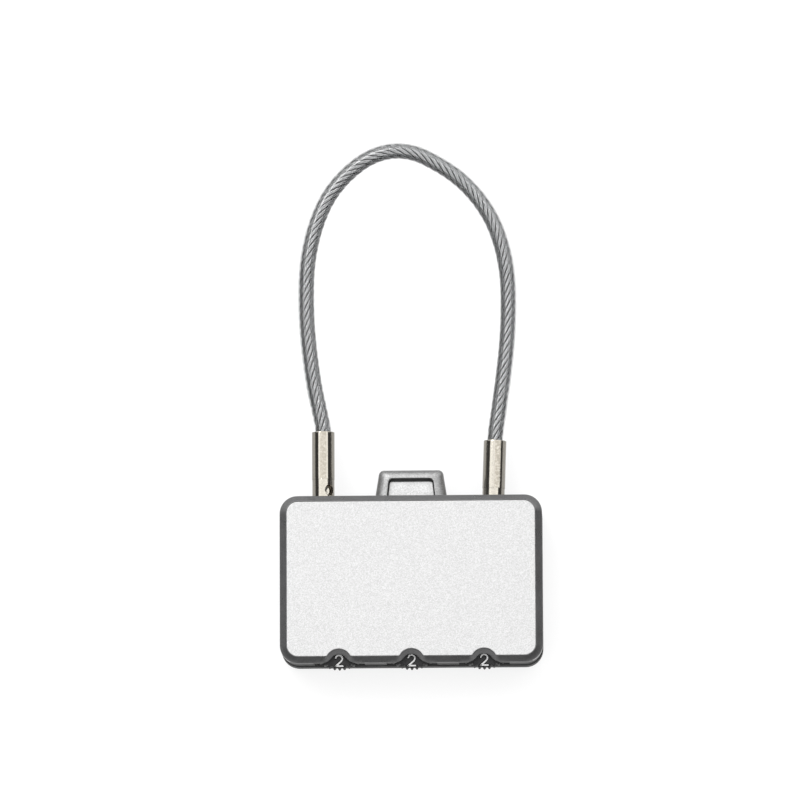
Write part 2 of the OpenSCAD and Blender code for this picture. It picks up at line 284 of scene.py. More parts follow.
def scaled(colour, k):
    return tuple(min(1.0, c * k) for c in colour)


def metal(name, colour, roughness, grain, vary, metallic=1.0, dent=0.0, specular=0.5):
    """Metal, paint or plastic: flakes of so many millimetres whose tone varies by the share vary,
    uneven gloss, a small surface grain and, if asked, shallow dents."""
    material, tree, shader = new_material(name)
    shader.inputs["Metallic"].default_value = metallic
    shader.inputs["Specular IOR Level"].default_value = specular
    cell = flakes(tree, grain)
    tree.links.new(
        tint(tree, cell, scaled(colour, 1 - vary), scaled(colour, 1 + vary), 0.0, 1.0),
        shader.inputs["Base Color"],
    )
    cloud = noise(tree, 2.5, 4)
    tree.links.new(
        spread(tree, cloud, roughness * 0.88, roughness * 1.12), shader.inputs["Roughness"]
    )
    fine = bump(tree, shader, noise(tree, grain, 3), 0.004, 0.5)
    if dent:
        bump(tree, shader, noise(tree, 0.9, 2), dent, 0.6, after=fine)
    return material


def pressed_nickel():
    """Nickel that the crimping tool has scuffed: mottled, with many small dents."""
    material, tree, shader = new_material("pressed_nickel")
    shader.inputs["Metallic"].default_value = 1.0
    mottle = noise(tree, 0.5, 4, 0.7)
    tree.links.new(
        tint(tree, mottle, (0.165, 0.150, 0.125), (0.285, 0.268, 0.235)), shader.inputs["Base Color"]
    )
    tree.links.new(spread(tree, mottle, 0.30, 0.16), shader.inputs["Roughness"])
    bump(tree, shader, noise(tree, 0.4, 3), 0.03, 0.7)
    return material


# name, base colour, roughness, flake size, spread of tone, metallic, dent height, specular
DARK_PAINT = metal("dark_paint", (0.112, 0.112, 0.113), 0.30, 0.14, 0.14, 0.85)
SILVER_PAINT = metal("silver_paint", (0.285, 0.285, 0.285), 0.42, 0.13, 0.17, 0.35, 0.0, 0.3)
INLAY_PAINT = metal("inlay_paint", (0.285, 0.285, 0.285), 0.42, 0.13, 0.2, 0.9)
FRAME_PAINT = metal("frame_paint", (0.12, 0.12, 0.12), 0.5, 0.14, 0.10, 0.0, 0.0, 0.1)
# Near-black copy of the dark paint. On the back shell it is the shell's own dark grey darkened as
# painted shade where the case meets the floor. It is also painted shade in the dials' slots, on the
# frame's inner walls and in the trench round the handle's inlay, and it colours the frame's edge below
# LIP_Z.
REAR_PAINT_AND_SHADE = metal("rear_paint_and_painted_shade", (0.022, 0.022, 0.022), 0.5, 0.14, 0.10, 0.0, 0.0, 0.1)
HANDLE_PAINT = metal("handle_paint", (0.168, 0.168, 0.168), 0.42, 0.16, 0.24, 0.9)
DIAL_PLASTIC = metal("dial_plastic", (0.019, 0.019, 0.0195), 0.5, 0.12, 0.18, 0.0, 0.0, 0.05)
NUMBER_INK = metal("number_ink", (0.34, 0.34, 0.34), 0.5, 0.1, 0.06, 0.0, 0.0, 0.2)
# Near-black band a little wider than the numbers, under them: painted shade of an engraved groove round
# each number.
GROOVE_SHADE = metal("groove_painted_shade", (0.004, 0.004, 0.004), 0.8, 0.1, 0.15, 0.0, 0.0, 0.05)
NICKEL = metal("nickel", (0.265, 0.25, 0.22), 0.12, 0.16, 0.10, 1.0, dent=0.010)
PRESSED_NICKEL = pressed_nickel()
STEEL = metal("steel", (0.56, 0.57, 0.58), 0.32, 0.2, 0.05)
WIRE_STEEL = metal("wire_steel", (0.42, 0.423, 0.426), 0.24, 0.12, 0.08, 0.85)
SPRING_STEEL = metal("spring_steel", (0.50, 0.50, 0.50), 0.28, 0.15, 0.05)
BRASS = metal("brass", (0.72, 0.53, 0.24), 0.3, 0.2, 0.06)
# Near-black: painted shade in the gaps of the wire rope.
GAP_SHADE_DARK = metal("gap_shade_dark", (0.008, 0.008, 0.008), 0.6, 0.2, 0.1, 0.0, 0.0, 0.05)


def clear_coating():
    material, tree, shader = new_material("clear_coating")
    shader.inputs["Base Color"].default_value = (0.58, 0.585, 0.59, 1)
    shader.inputs["Transmission Weight"].default_value = 1.0
    shader.inputs["IOR"].default_value = 1.46
    tree.links.new(
        spread(tree, noise(tree, 3.0, 3), 0.03, 0.08), shader.inputs["Roughness"]
    )
    bump(tree, shader, noise(tree, 1.2, 2), 0.01, 0.4)
    return material


CLEAR = clear_coating()

# ---- camera: a long lens that looks at the front from a little below ----

TARGET = Vector((-2.09, 32.92, 6.0)) * MM
CAMERA_DISTANCE, FRAME_WIDTH, SENSOR = 1.4, 153.2567, 36  # metres, then millimetres
TILT, YAW, ROLL = (math.radians(a) for a in (8.02, 1.52, 0.25))
toward = Vector(
    (math.sin(YAW), -math.sin(TILT) * math.cos(YAW), math.cos(TILT) * math.cos(YAW))
)
side = Vector((0, 1, 0)).cross(toward).normalized()
up = toward.cross(side)
camera_x = math.cos(ROLL) * side - math.sin(ROLL) * up
camera_y = math.sin(ROLL) * side + math.cos(ROLL) * up
camera_data = bpy.data.cameras.new("camera")
camera_data.sensor_width = SENSOR
camera_data.lens = SENSOR * CAMERA_DISTANCE / MM / FRAME_WIDTH
camera_data.clip_start, camera_data.clip_end = 0.01, 50
camera = link("camera", camera_data)
camera.matrix_world = Matrix.Translation(TARGET + toward * CAMERA_DISTANCE) @ (
    Matrix((camera_x, camera_y, toward)).transposed().to_4x4()
)
bpy.context.scene.camera = camera

# ---- cable ----

LEAN = math.radians(FIXED_LEAN)
FIXED_END = (FIXED_X + FIXED_TOP * math.sin(LEAN), Y_TOP + FIXED_TOP * math.cos(LEAN))
FREE_END = (FREE_X, Y_TOP + FREE_TOP)
ROUTE = [
    FIXED_END,
    (16.9, 31.0), (17.8, 37.5), (18.5, 44.0), (18.8, 50.5), (18.6, 57.0),
    (17.6, 62.5), (15.8, 67.5), (13.0, 72.0), (9.4, 75.8), (5.2, 78.7),
    (0.8, 80.79), (-3.6, 81.19), (-8.0, 79.8), (-12.0, 76.8), (-15.1, 73.2),
    (-17.3, 69.0), (-18.9, 64.0), (-19.8, 58.5), (-20.0, 52.5), (-19.8, 46.5),
    (-19.2, 40.5), (-18.4, 35.0), (-17.5, 30.7),
    FREE_END,
]  # fmt: skip
INTO_FERRULE = 0.5
SHEATH_R = CABLE_D / 2 - 0.05


def smooth_route(step):
    """The route as a smooth curve, sampled evenly: distances along it, points, unit directions."""
    p = np.array(ROUTE, float)
    chord = np.linalg.norm(np.diff(p, axis=0), axis=1)
    slope = np.zeros_like(p)
    slope[1:-1] = (p[2:] - p[:-2]) / (chord[1:] + chord[:-1])[:, None]
    slope[0] = (math.sin(LEAN), math.cos(LEAN))
    slope[-1] = (0.0, -1.0)
    dense = [p[0] - slope[0] * INTO_FERRULE]
    for k, length in enumerate(chord):
        for t in np.linspace(0, 1, 40, endpoint=False):
            h00, h10 = 2 * t**3 - 3 * t**2 + 1, t**3 - 2 * t**2 + t
            h01, h11 = -2 * t**3 + 3 * t**2, t**3 - t**2
            dense.append(
                h00 * p[k] + h10 * length * slope[k] + h01 * p[k + 1] + h11 * length * slope[k + 1]
            )
    dense = np.array([*dense, p[-1], p[-1] + slope[-1] * INTO_FERRULE])
    s = np.concatenate([[0], np.cumsum(np.linalg.norm(np.diff(dense, axis=0), axis=1))])
    even = np.linspace(0, s[-1], int(s[-1] / step) + 1)
    line = np.stack([np.interp(even, s, dense[:, i]) for i in (0, 1)], 1)
    for _ in range(2):
        line[1:-1] = (line[:-2] + 2 * line[1:-1] + line[2:]) / 4
    direction = np.gradient(line, axis=0)
    direction /= np.linalg.norm(direction, axis=1)[:, None]
    return even, line, direction


def tube_rings(line, direction, offsets_x, offsets_z, radius, sides):
    """Rings of a tube that runs beside the route, offset across it and along Z."""
    across = np.stack([direction[:, 1], -direction[:, 0]], 1)
    centre = np.column_stack([line + across * offsets_x[:, None], MID_Z + offsets_z])
    tangent = np.gradient(centre, axis=0)
    tangent /= np.linalg.norm(tangent, axis=1)[:, None]
    a = np.column_stack([across, np.zeros(len(line))])
    a -= (a * tangent).sum(1)[:, None] * tangent
    a /= np.linalg.norm(a, axis=1)[:, None]
    b = np.cross(a, tangent)
    return [
        [
            centre[k] + radius * (math.cos(t) * a[k] + math.sin(t) * b[k])
            for t in np.linspace(0, 2 * math.pi, sides, endpoint=False)
        ]
        for k in range(len(line))
    ]


ROPE_D, ROPE_ASIDE = 2.0, 0.07
STRANDS, WIRES, STRAND_LAY, WIRE_LAY = 6, 6, 10.1, 15.0
WOBBLE, WOBBLES = 0.06, 60
STRAND_R = ROPE_D / 6 * 0.86
STRAND_OUT = ROPE_D / 2 - STRAND_R
WIRE_R = STRAND_R / 3


def strand_turn(j, s):
    """Angle of a strand round the rope, at each distance along it."""
    return 2 * math.pi * j / STRANDS - 2 * math.pi * s / STRAND_LAY


def rope_shift(s):
    """How far the rope lies aside in its coating, from nothing at each ferrule."""
    return ROPE_ASIDE * np.clip(np.minimum(s, s[-1] - s) / 8, 0, 1)


def wire_rope():
    """Six strands round a core, each of six wires, all with the same slant."""
    s, line, direction = smooth_route(0.45)
    rng = np.random.default_rng(7)
    shift = rope_shift(s)
    parts = []
    for j in range(STRANDS):
        turn = strand_turn(j, s)
        for i in range(WIRES):
            marks = np.linspace(0, s[-1], WOBBLES)
            wobble = WOBBLE * np.interp(s, marks, rng.normal(0, 1, WOBBLES))
            spin = 2 * math.pi * i / WIRES + wobble - 2 * math.pi * s / WIRE_LAY
            reach = STRAND_OUT + 2 * WIRE_R * np.cos(spin)
            aside = 2 * WIRE_R * np.sin(spin)
            x = reach * np.cos(turn) - aside * np.sin(turn) - shift
            z = reach * np.sin(turn) + aside * np.cos(turn)
            parts.append(loft(tube_rings(line, direction, x, z, WIRE_R * 0.90, 5)))
    return make_object("wire_rope", *join(parts))


def gap_shade_tubes():
    """Near-black tubes along the middle of the rope and of each strand: painted shade that darkens the
    gaps between the wires.
    """
    s, line, direction = sheath_route
    parts = [loft(tube_rings(line, direction, middle, middle, STRAND_R * 1.7, 10))]
    for j in range(STRANDS):
        turn = strand_turn(j, s)
        x, z = STRAND_OUT * np.cos(turn) - rope_shift(s), STRAND_OUT * np.sin(turn)
        parts.append(loft(tube_rings(line, direction, x, z, WIRE_R * 1.75, 8)))
    return make_object("rope_gap_shade", *join(parts))


sheath_route = smooth_route(0.6)
line_sheath = sheath_route[1]
middle = np.zeros(len(line_sheath))
sheath_rings = tube_rings(*sheath_route[1:], middle, middle, SHEATH_R, 28)
sheath = make_object("cable_coating", *loft(sheath_rings))
rope = wire_rope()
rope_gap_shade = gap_shade_tubes()
for piece, material in ((sheath, CLEAR), (rope, WIRE_STEEL), (rope_gap_shade, GAP_SHADE_DARK)):
    piece.data.materials.append(material)
    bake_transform(piece)
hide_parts("cable")

# ---- ferrules ----

AROUND = np.linspace(0, 2 * math.pi, 144, endpoint=False)
# How far each crimp is turned, in degrees, and how far its flats lie from its axis
FREE_TURN, FREE_APOTHEM, FIXED_TURN, FIXED_APOTHEM = 1.5, 2.09, 19.0, 2.10


def ferrule_section(radius, apothem, turn):
    """Outline across a crimp: round, pressed flat in front and behind, turned by so many radians."""
    ring = []
    for t in AROUND:
        c = np.abs(math.cos(t - turn)) / apothem
        r = (c**70 + radius**-70.0) ** (-1 / 70)
        ring.append((r * math.sin(t), r * math.cos(t)))
    return ring


def round_section(r):
    return [(r * math.sin(t), r * math.cos(t)) for t in AROUND]


def ferrule(name, shank, turn, apothem, groove=None):
    """Ferrule hanging down -Y from the origin, its crimp turned by so many degrees, with a groove
    for the retaining clip this far down. The rings are (distance down, outline)."""
    crimp = ferrule_section(FERRULE_R, apothem, math.radians(turn))
    bore = CABLE_D / 2 + 0.02
    shank_r = FERRULE_R - 0.045
    rings = [
        (0.9, round_section(bore)), (0.1, round_section(bore)), (0.02, round_section(bore + 0.03)),
        (0.0, round_section(bore + 0.08)), (0.0, mix(round_section(1.9), crimp, 0.75)),
        (0.02, mix(round_section(1.95), crimp, 0.9)),
        (0.09, mix(round_section(2.0), crimp, 0.97)), (0.18, crimp), (0.4, crimp),
        (2.5, crimp), (5.0, crimp), (7.5, crimp),
        (CRIMP_LEN - 0.4, crimp), (CRIMP_LEN - 0.03, crimp),
        (CRIMP_LEN, round_section(shank_r)), (CRIMP_LEN + 0.03, round_section(shank_r)),
        (CRIMP_LEN + 0.3, round_section(shank_r)),
    ]  # fmt: skip
    end = CRIMP_LEN + shank
    if groove:
        rings += [
            (groove - 0.02, round_section(shank_r)), (groove, round_section(shank_r - 0.04)),
            (groove + 0.02, round_section(GROOVE_R)),
            (groove + CLIP_T - 0.02, round_section(GROOVE_R)),
            (groove + CLIP_T, round_section(shank_r - 0.04)),
            (groove + CLIP_T + 0.02, round_section(shank_r)),
        ]  # fmt: skip
    else:
        rings += [(end - 2.6, round_section(shank_r)), (end - 1.2, round_section(shank_r))]
    rings += [
        (end - 0.5, round_section(shank_r)), (end - 0.42, round_section(shank_r - 0.03)),
        (end - 0.06, round_section(shank_r - 0.4)), (end, round_section(shank_r - 0.5)),
    ]  # fmt: skip
    verts, faces = loft([[(x, -a, z) for x, z in section] for a, section in rings])
    return make_object(name, verts, faces)


def press(obj, turn, top_y):
    """Gives the two flats of a placed ferrule, with its upper end at top_y, the scuffed finish."""
    flat = Vector((math.sin(math.radians(turn)), 0, math.cos(math.radians(turn))))
    for polygon in obj.data.polygons:
        pressed = abs(polygon.normal.dot(flat)) > math.cos(math.radians(9))
        if pressed and 0.05 < top_y - polygon.center.y / MM < CRIMP_LEN - 0.05:
            polygon.material_index = 1


def cutter(name, radius, flare, low, top):
    """Round cutter along Z, from its pointed end at low to its flared mouth at top."""
    turns = np.linspace(0, 2 * math.pi, 64, endpoint=False)
    rings = [
        [(r * math.cos(t), r * math.sin(t), z) for t in turns]
        for z, r in (
            (low, radius * 0.2), (low + 0.25, radius * 0.96), (top - 0.16, radius),
            (top, radius + flare), (top + 1.5, radius + flare + 1.5),
        )
    ]  # fmt: skip
    return make_object(name, *loft(rings))


def cut(obj, tool):
    """Takes the tool's shape out of the object and removes the tool."""
    modifier = obj.modifiers.new("cut", "BOOLEAN")
    modifier.operation, modifier.solver, modifier.object = "DIFFERENCE", "EXACT", tool
    bpy.context.view_layer.update()
    graph = bpy.context.evaluated_depsgraph_get()
    mesh = bpy.data.meshes.new_from_object(obj.evaluated_get(graph))
    obj.modifiers.clear()
    obj.data = mesh
    bpy.data.objects.remove(tool)
    shade_smooth(mesh)


free = ferrule("ferrule_free", FREE_SHANK, FREE_TURN, FREE_APOTHEM)
hole = cutter("hole_cutter", HOLE_R - 0.05, 0.13, 0.4, FERRULE_R - 0.12)
hole.data.transform(
    Matrix.Translation((0, -HOLE_DROP * MM, 0)) @ Matrix.Rotation(math.radians(HOLE_TURN), 4, "Y")
)
cut(free, hole)
free.data.transform(Matrix.Translation(Vector((FREE_X, Y_TOP + FREE_TOP, MID_Z)) * MM))
sharpen(free, 38)
place(free, "free_end", [NICKEL, PRESSED_NICKEL], ["free_ferrule"])
press(free, FREE_TURN, FREE_END[1])

clip_groove = FIXED_TOP + CLIP_DROP - CLIP_T / 2
fixed = ferrule("ferrule_fixed", FIXED_SHANK, FIXED_TURN, FIXED_APOTHEM, clip_groove)
fixed.data.transform(
    Matrix.Translation(Vector((*FIXED_END, MID_Z)) * MM) @ Matrix.Rotation(-LEAN, 4, "Z")
)
sharpen(fixed, 38)
place(fixed, "case", [NICKEL, PRESSED_NICKEL], ["fixed_ferrule"])
press(fixed, FIXED_TURN, FIXED_END[1])

# ---- front shell and its panel ----


def front_loops():
    """The shell's outer edge with its three bell openings, the panel's edge matched to it point
    by point, and for each point whether a dial needs room under it."""
    outer, inner, room = [], [], []

    def add(o, i, r=False):
        outer.append(o)
        inner.append(i)
        room.append(r)

    ox, oy = CASE_W / 2 - CORNER_R, CASE_H / 2 - CORNER_R
    ix, iy = CASE_W / 2 - BEZEL_W - PANEL_R, CASE_H / 2 - PANEL_INSET_Y - PANEL_R
    mid = Y_BOTTOM + CASE_H / 2
    for sx, sy, start in ((1, -1, -90), (1, 1, 0), (-1, 1, 90), (-1, -1, 180)):
        for o, i in zip(
            arc(sx * ox, mid + sy * oy, CORNER_R, start, start + 90, 14),
            arc(sx * ix, mid + sy * iy, PANEL_R, start, start + 90, 14),
        ):
            add(o, i)
    # The bell's half width at its foot, and the angle where its fillet meets its arc
    f = NOTCH_FILLET
    foot = math.sqrt((NOTCH_R + f) ** 2 - f**2)
    rise = math.degrees(math.asin(f / (NOTCH_R + f)))
    # The panel notch's half width, and the angle where it meets the panel's straight edge
    lift = PANEL_INSET_Y - PANEL_NOTCH_UP
    half = math.sqrt(PANEL_NOTCH_R**2 - lift**2)
    corner = math.degrees(math.asin(lift / PANEL_NOTCH_R))
    # Half widths of the room for the dial, at the shell's edge and at the panel's
    clear_r = DIAL_R + DIAL_ROOM
    out_half = math.sqrt(clear_r**2 - (DIAL_Y - Y_BOTTOM) ** 2)
    in_half = math.sqrt(clear_r**2 - (DIAL_Y - Y_BOTTOM - PANEL_INSET_Y) ** 2)
    in_y = Y_BOTTOM + PANEL_INSET_Y
    meet = rise - 2.8
    for dx in DIAL_XS:
        add((dx - out_half - 0.03, Y_BOTTOM), (dx - in_half - 0.03, in_y))
        add((dx - out_half, Y_BOTTOM), (dx - in_half, in_y), True)
        left_out = arc(dx - foot, Y_BOTTOM + f, f, -90, -rise, 12)
        straight = [(dx - x, in_y) for x in np.linspace(foot, half, 9)]
        bend = arc(dx, Y_BOTTOM + PANEL_NOTCH_UP, PANEL_NOTCH_R, 180 - corner, 180 - meet, 4)
        left_in = straight + bend[1:]
        for o, i in zip(left_out, left_in):
            add(o, i, True)
        top_out = arc(dx, Y_BOTTOM, NOTCH_R, 180 - rise, rise, 26)
        top_in = arc(dx, Y_BOTTOM + PANEL_NOTCH_UP, PANEL_NOTCH_R, 180 - meet, meet, 26)
        for o, i in zip(top_out[1:-1], top_in[1:-1]):
            add(o, i, True)
        for o, i in zip(reversed(left_out), reversed(left_in)):
            add((2 * dx - o[0], o[1]), (2 * dx - i[0], i[1]), True)
        add((dx + out_half, Y_BOTTOM), (dx + in_half, in_y), True)
        add((dx + out_half + 0.03, Y_BOTTOM), (dx + in_half + 0.03, in_y))
    return outer, inner, room


OUTER, INNER, ROOM = front_loops()


def between(t, z, raised=None):
    """Ring between the outer edge (t = 0) and the panel's edge (t = 1)."""
    return [
        (o[0] + (i[0] - o[0]) * t, o[1] + (i[1] - o[1]) * t, raised if raised and r else z)
        for o, i, r in zip(OUTER, INNER, ROOM)
    ]


RELIEF_Z = DIAL_Z + DIAL_T + DIAL_ROOM
EDGE_Z = CASE_T - BEZEL_DROP
PLATE_LOW, PLATE_HIGH = CASE_T - PANEL_T - 1.1, CASE_T - PANEL_T
front_rings = [
    between(1.0, PLATE_LOW),
    between(1.0, FRONT_Z + 0.06, RELIEF_Z + 0.06),
    between(0.95, FRONT_Z, RELIEF_Z),
    between(0.08, FRONT_Z, RELIEF_Z),
    between(0.02, FRONT_Z + 0.03, RELIEF_Z + 0.03),
    between(0.0, FRONT_Z + 0.12, RELIEF_Z + 0.12),
    between(0.0, EDGE_Z - 0.14),
    between(0.005, EDGE_Z - 0.06),
    between(0.025, EDGE_Z + 0.01),
    between(0.06, EDGE_Z + 0.07),
    between(0.45, EDGE_Z + 0.515),
    between(0.88, CASE_T - 0.08),
    between(0.92, CASE_T - 0.04),
    between(0.955, CASE_T - 0.01),
    between(0.98, CASE_T),
    between(1.0, CASE_T - 0.03),
    between(1.0, PLATE_HIGH),
]
front_shell = weighted(make_object("front_shell_cover", *loft(front_rings)))
sharpen(front_shell, 50)
split_beside_dials(front_shell)
place(front_shell, "case", [DARK_PAINT, REAR_PAINT_AND_SHADE, FRAME_PAINT], ["front_shell"])
# The bottom wall takes the frame's grey. Beside the dials it takes the near-black paint, as painted
# shade in the dials' slots.
for polygon in front_shell.data.polygons:
    c = polygon.center / MM
    on_wall = abs(polygon.normal.z) < 0.3 and FRONT_Z + 0.02 < c.z < EDGE_Z - 0.02
    if on_wall and c.y < Y_BOTTOM + 0.3:
        polygon.material_index = 1 if by_dial(c.x) else 2

panel_top = CASE_T - 0.1
panel_rings = [
    at(inset(INNER, 0.05), PLATE_HIGH + 0.02),
    at(inset(INNER, 0.05), panel_top - 0.09),
    at(inset(INNER, 0.07), panel_top - 0.03),
    at(inset(INNER, 0.12), panel_top),
    at(inset(INNER, 0.25), panel_top),
]
panel = weighted(make_object("front_panel_plate", *loft(panel_rings)))
place(panel, "case", SILVER_PAINT, ["front_panel"])

# ---- handle ----


def handle_outline(base, top, height, r, low):
    """Upside-down U from the bottom right over the top to the bottom left, and back along the
    bottom, which lies at low under the case's top edge."""
    lean = (base - top) / 2 / height
    wall = math.degrees(math.atan(lean))
    right = arc(top / 2 - r, Y_TOP + height - r, r, wall, 90, 10)
    foot_x = base / 2 + lean * -low
    rise_x, rise_y = right[0][0] - foot_x, right[0][1] - Y_TOP - low
    side_points = [
        (foot_x + rise_x * t, Y_TOP + low + rise_y * t) for t in np.linspace(0, 1, 9)[:-1]
    ]
    left = [(-x, y) for x, y in reversed(right)]
    top_points = [(x, Y_TOP + height) for x in np.linspace(right[-1][0], left[0][0], 12)[1:-1]]
    back = [(-x, y) for x, y in reversed(side_points)]
    bottom = [(x, Y_TOP + low) for x in np.linspace(-foot_x, foot_x, 12)[1:-1]]
    return side_points + right + top_points + left + back + bottom


# width at the case, width at the top, height, corner radius, how low it starts
handle_out = handle_outline(HANDLE_BASE, HANDLE_TOP, HANDLE_H, 1.0, -0.3)
recess = handle_outline(9.2, 8.6, 3.6, 0.8, -0.35)
inlay = handle_outline(8.9, 8.3, 3.15, 0.5, -0.35)


def handle_half():
    """From the middle of the outer edge to the recess floor: (outline, height over the middle)."""
    half_t, rounding = HANDLE_T / 2, 1.75
    floor_h = half_t - RECESS_D
    rows = [(handle_out, 0.0), (handle_out, half_t - rounding - 0.1)]
    for a in (12, 24, 36, 48, 60, 72, 84):
        c, s = math.cos(math.radians(a)), math.sin(math.radians(a))
        height = half_t - rounding + (rounding - 0.01) * s
        rows.append((mix(handle_out, recess, 0.92 * (1 - c)), height))
    rows += [
        (mix(handle_out, recess, 0.94), half_t),
        (mix(handle_out, recess, 0.975), half_t - 0.01),
        (mix(handle_out, recess, 1.0), half_t - 0.06),
        (recess, floor_h - 0.3),
        (inlay, floor_h - 0.3),
        (inlay, floor_h - 0.06),
        (mix(inlay, inset(inlay, 0.06), 0.3), floor_h - 0.02),
        (inset(inlay, 0.06), floor_h),
        (inset(inlay, 0.15), floor_h),
    ]
    return rows


half_rows = handle_half()
handle_rings = [at(loop, MID_Z - h) for loop, h in reversed(half_rows)]
handle_rings += [at(loop, MID_Z + h) for loop, h in half_rows[1:]]
handle = weighted(make_object("handle_body", *loft(handle_rings)))
sharpen(handle, 60)
place(handle, "case", [HANDLE_PAINT, INLAY_PAINT, REAR_PAINT_AND_SHADE], ["handle"])
# The recess floor takes the inlay paint. The trench round it takes the near-black paint as painted
# shade.
for polygon in handle.data.polygons:
    height = abs(polygon.center.z / MM - MID_Z) - (HANDLE_T / 2 - RECESS_D)
    if height < -0.25:
        polygon.material_index = 2
    elif height < 0.02:
        polygon.material_index = 1

# ---- pieces that keep the CAD's shape, with softened edges ----


def cad_copy(node, name):
    mesh = NODES[node].data.copy()
    mesh.name = name
    return link(name, mesh)


def softened(node, name, width):
    """A copy of a CAD node with its flat faces merged and its edges rounded."""
    obj = cad_copy(node, name)
    mesh = obj.data
    bm = bmesh.new()
    bm.from_mesh(mesh)
    bmesh.ops.remove_doubles(bm, verts=bm.verts, dist=MERGE)
    bmesh.ops.dissolve_limit(
        bm, angle_limit=math.radians(1.0), verts=bm.verts, edges=bm.edges,
        use_dissolve_boundaries=False,
    )  # fmt: skip
    bmesh.ops.recalc_face_normals(bm, faces=bm.faces)
    bm.to_mesh(mesh)
    bm.free()
    shade_smooth(mesh)
    bevel = obj.modifiers.new("edges", "BEVEL")
    bevel.width = width * MM
    bevel.segments = 2
    bevel.limit_method = "ANGLE"
    bevel.angle_limit = math.radians(32)
    bevel.harden_normals = False
    return weighted(obj)


SOFTENED = (
    ("mid_frame", "mid_frame_band", 0.10, "frame_grey", FRAME_PAINT),
    ("back_shell", "back_shell_cover", 0.07, "dark_shell", REAR_PAINT_AND_SHADE),
    ("back_panel", "back_panel_plate", 0.10, "silver_panel", SILVER_PAINT),
)


def depth_inside(x, y, half_x, low_y, high_y, r):
    """How far a point lies inside a rounded rectangle."""
    dx = abs(x) - half_x + r
    dy = abs(y - (low_y + high_y) / 2) - (high_y - low_y) / 2 + r
    return r - math.hypot(max(dx, 0), max(dy, 0)) - min(max(dx, dy), 0)


for node, name, width, slot, material in SOFTENED:
    cover = softened(node, name, width)
    if node == "mid_frame":
        split_at(cover, (0, 0, LIP_Z), (0, 0, 1))
        split_beside_dials(cover)
        place(cover, "case", [material, REAR_PAINT_AND_SHADE], [node])
        xs = [v.co.x / MM for v in cover.data.vertices]
        ys = [v.co.y / MM for v in cover.data.vertices]
        # Below LIP_Z the frame is darker. On the walls of the dials' slots and on its inner walls, the
        # near-black paint is painted shade.
        for polygon in cover.data.polygons:
            c = polygon.center / MM
            inside = depth_inside(c.x, c.y, max(xs), min(ys), max(ys), CORNER_R)
            slot_wall_in_shade = c.y < SLOT_TOP_Y and by_dial(c.x)
            if c.z < LIP_Z or slot_wall_in_shade or (inside > 0.25 and abs(polygon.normal.z) < 0.7):
                polygon.material_index = 1
    else:
        place(cover, "case", material, [node])

# ---- the latch's spring, a copy of the CAD's coil with a mesh of its own; the real spring is pressed shorter when the bolt gives way ----

coil = cad_copy("latch_spring", "latch_spring_coil")
place(coil, "case", SPRING_STEEL, ["latch_spring"])
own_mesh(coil)  # fmt: skip

# ---- dials ----

STEPS_PER_TOOTH = 12
DIAL_TOP = DIAL_Z + DIAL_T
HUB_BORE, POST_BORE, RIM_R = 2.32, 1.26, DIAL_R - 0.04


def tooth_outline():
    """(angle, distance under the largest radius) round the dial; a tooth points at -Y."""
    points = []
    for k in range(TEETH * STEPS_PER_TOOTH):
        u = (k / STEPS_PER_TOOTH + 0.5) % 1 - 0.5
        drop = min(1.0, (abs(u) / 0.37) ** 2.3)
        points.append((-math.pi / 2 + 2 * math.pi * k / (TEETH * STEPS_PER_TOOTH), drop * TOOTH_H))
    return points


def dial_body(name, x):
    """Dial with its centre at x: from the hub's bore round the rim to the post's bore."""
    outline = tooth_outline()

    def toothed(less, z):
        radii = [(a, RIM_R - less - d) for a, d in outline]
        return [(x + r * math.cos(a), DIAL_Y + r * math.sin(a), z) for a, r in radii]

    def circle(r, z):
        return [(x + r * math.cos(a), DIAL_Y + r * math.sin(a), z) for a, _ in outline]

    top = DIAL_TOP
    rings = [
        circle(HUB_BORE, top - 1), circle(HUB_BORE, DIAL_Z), circle(4.6, DIAL_Z),
        toothed(0.25, DIAL_Z), toothed(0.08, DIAL_Z + 0.05), toothed(0, DIAL_Z + 0.25),
        toothed(0, top - 0.30), toothed(0.03, top - 0.14), toothed(0.10, top - 0.04),
        toothed(0.2, top), circle(5.3, top), circle(3.2, top), circle(POST_BORE + 0.04, top),
        circle(POST_BORE, top - 0.05), circle(POST_BORE, top - 1),
    ]  # fmt: skip
    return make_object(name, *loft(rings, ring_closed=True))


def ellipse(cx, cy, rx, ry, a0, a1, n):
    """n points along part of an ellipse, angles in degrees."""
    return [
        (cx + rx * math.cos(math.radians(a)), cy + ry * math.sin(math.radians(a)))
        for a in np.linspace(a0, a1, n)
    ]


